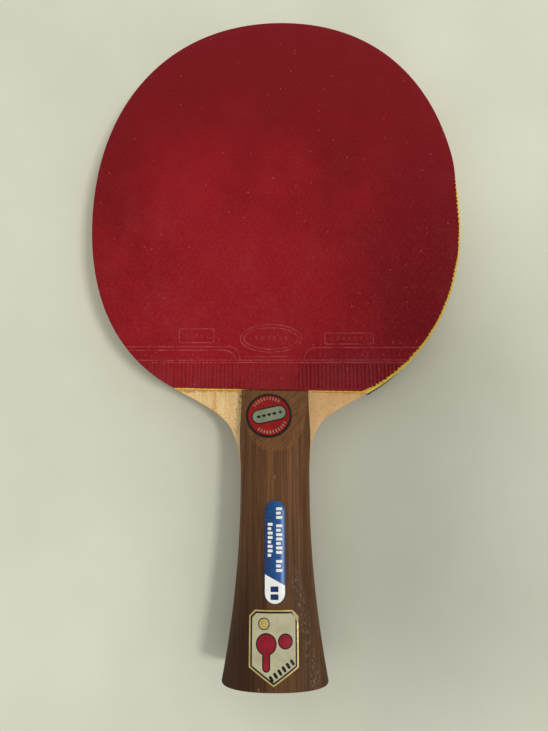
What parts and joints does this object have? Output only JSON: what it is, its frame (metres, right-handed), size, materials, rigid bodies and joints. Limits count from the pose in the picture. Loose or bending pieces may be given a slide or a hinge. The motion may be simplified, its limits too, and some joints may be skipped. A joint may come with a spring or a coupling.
{
  "type": "table tennis paddle",
  "caption": "Table tennis paddle with a five-ply wooden blade, a flared handle, and a sponge rubber on each face, red in front and black behind.",
  "frame": {"origin": "under the middle of the paddle's box, on the surface it lies on with its black face down", "axes": "+Z out of the red face, +Y from the butt towards the blade's tip, +X across the blade"},
  "size_m": [0.1482, 0.261, 0.0251],
  "materials": {
    "core_wood": "bare end-cut core wood",
    "inner_veneer": "bare veneer edge",
    "pale_veneer": "pale bare veneer with fine dark specks",
    "walnut": "oiled dark wood with fine straight grain and light scuffs",
    "dried_glue": "dried brown glue",
    "yellow_sponge": "yellow fine-celled foam",
    "red_rubber": "worn semi-matt red moulded rubber",
    "black_rubber": "semi-matt black moulded rubber",
    "badge_enamel": "printed red disc with a black rim",
    "plate_foil": "printed blue foil with a white end",
    "clear_resin": "clear domed resin",
    "shield_print": "cream sticker with a gold border"
  },
  "bodies": {
    "root": {"core_ply": "core_wood", "front_inner_ply": "inner_veneer", "back_inner_ply": "inner_veneer", "front_outer_ply": "pale_veneer", "back_outer_ply": "pale_veneer", "front_handle_scale": "walnut", "back_handle_scale": "walnut", "front_glue_film": "dried_glue", "back_glue_film": "dried_glue", "front_sponge": "yellow_sponge", "back_sponge": "yellow_sponge", "front_topsheet": "red_rubber", "back_topsheet": "black_rubber", "round_badge": "badge_enamel", "name_plate_foil": "plate_foil", "name_plate_dome": "clear_resin", "shield_badge": "shield_print"}
  },
  "joints": []
}
